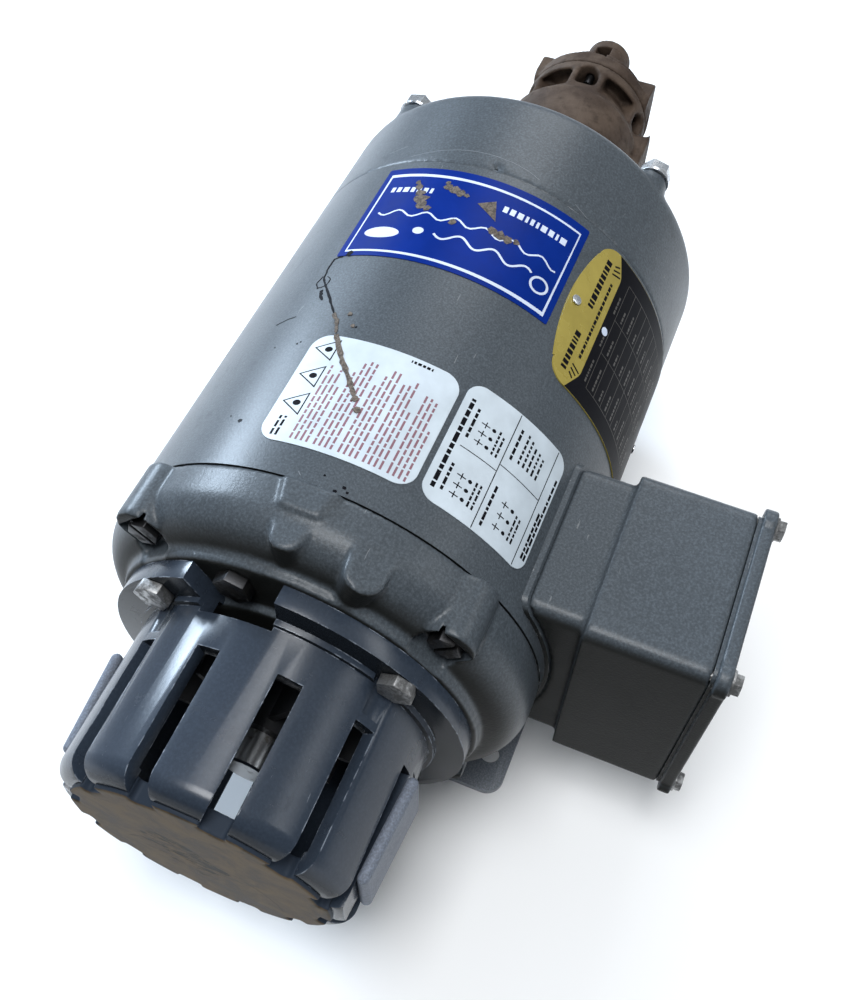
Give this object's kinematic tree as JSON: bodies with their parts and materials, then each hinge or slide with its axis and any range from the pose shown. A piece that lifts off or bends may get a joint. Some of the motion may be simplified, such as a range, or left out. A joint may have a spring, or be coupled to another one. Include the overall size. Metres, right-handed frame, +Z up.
{
  "type": "wave maker pump",
  "caption": "Grey electric motor on a foot, with a slotted strainer cage on its front face, a side conduit box and a brown gear pump on the rear end.",
  "frame": {"origin": "centre of the foot bolt pattern, on the plane the foot stands on", "axes": "+X along the motor shaft from the strainer cage to the pump, +Z up, conduit box on the -Y side"},
  "size_m": [0.5363, 0.2745, 0.2159],
  "materials": {
    "cage_enamel": "semi-gloss slate blue enamel over cast metal",
    "stained_plate": "stained and weathered brown end plate",
    "pale_enamel": "satin pale blue-grey enamel",
    "zinc": "bright zinc plate",
    "worn_steel": "worn plain steel",
    "dark_steel": "dark oxidised steel",
    "motor_enamel": "satin charcoal enamel with fine orange peel",
    "motor_enamel_cast": "satin charcoal enamel over a sand casting",
    "lamination_steel": "stacked electrical steel",
    "copper_winding": "varnished copper winding",
    "bearing_steel": "ground bearing steel",
    "black_rubber": "matte black rubber",
    "black_plastic": "black moulded plastic",
    "brass_stud": "plain brass",
    "green_screw": "green-dyed steel",
    "blue_decal": "scratched blue vinyl decal with a white inner border",
    "white_decal": "white vinyl decal with printed lines",
    "gold_plate": "gold and black printed metal plate",
    "bronze_casting": "oxidised brown casting",
    "shaft_steel": "turned steel",
    "cast_aluminium": "die-cast aluminium"
  },
  "bodies": {
    "motor_body": {"strainer_cage": "cage_enamel", "cage_end_plate": "stained_plate", "side_shield_left": "pale_enamel", "side_shield_right": "pale_enamel", "shield_screws": "zinc", "cage_bolts": "worn_steel", "face_plug_bolt": "dark_steel", "front_bell": "motor_enamel_cast", "motor_shell": "motor_enamel", "rear_bell": "motor_enamel_cast", "through_bolts": "dark_steel", "through_bolt_nuts": "zinc", "stator_core": "lamination_steel", "stator_windings": "copper_winding", "front_bearing_outer_race": "bearing_steel", "rear_bearing_outer_race": "bearing_steel", "wave_washer": "bearing_steel", "front_shaft_seal": "black_rubber", "motor_base": "motor_enamel", "box_gasket": "motor_enamel", "conduit_box": "motor_enamel_cast", "conduit_hub": "motor_enamel_cast", "cover_gasket": "black_rubber", "conduit_box_cover": "motor_enamel_cast", "cover_screws": "zinc", "terminal_block": "black_plastic", "terminal_studs": "brass_stud", "ground_screw": "green_screw", "blue_label": "blue_decal", "warning_label": "white_decal", "wiring_label": "white_decal", "nameplate": "gold_plate", "nameplate_rivets": "zinc", "pump_bracket": "bronze_casting", "bracket_bolts": "dark_steel", "bracket_bushing": "brass_stud", "pump_shaft_seal": "black_rubber", "pump_housing": "bronze_casting", "housing_bushing": "brass_stud", "pump_bolts": "dark_steel", "relief_valve_cap": "bronze_casting", "relief_spring": "bearing_steel", "relief_plunger": "brass_stud", "idler_pin": "shaft_steel"},
    "rotor": {"motor_shaft": "shaft_steel", "rotor_core": "lamination_steel", "rotor_end_rings": "cast_aluminium", "front_bearing_inner_race": "bearing_steel", "rear_bearing_inner_race": "bearing_steel", "impeller": "black_plastic", "impeller_key": "shaft_steel", "impeller_set_screw": "dark_steel", "slinger": "black_rubber", "shaft_coupling": "shaft_steel", "coupling_screws": "dark_steel", "pump_shaft": "shaft_steel", "drive_gear": "shaft_steel"},
    "ball_set": {"bearing_balls": "bearing_steel", "ball_retainers": "brass_stud"},
    "pump_idler": {"idler_gear": "shaft_steel"}
  },
  "joints": [
    {"name": "rotor_spin", "type": "hinge", "parent": "motor_body", "child": "rotor", "pos_m": [0, 0, 0.1143], "axis": [1, 0, 0], "continuous": true},
    {"name": "ball_roll", "type": "hinge", "parent": "motor_body", "child": "ball_set", "pos_m": [0, 0, 0.1143], "axis": [1, 0, 0], "continuous": true},
    {"name": "idler_spin", "type": "hinge", "parent": "motor_body", "child": "pump_idler", "pos_m": [0.303, 0, 0.0963], "axis": [1, 0, 0], "continuous": true}
  ],
  "couplings": [
    {"joint": "ball_roll", "follows": "rotor_spin", "ratio": 0.397},
    {"joint": "idler_spin", "follows": "rotor_spin", "ratio": -1}
  ]
}
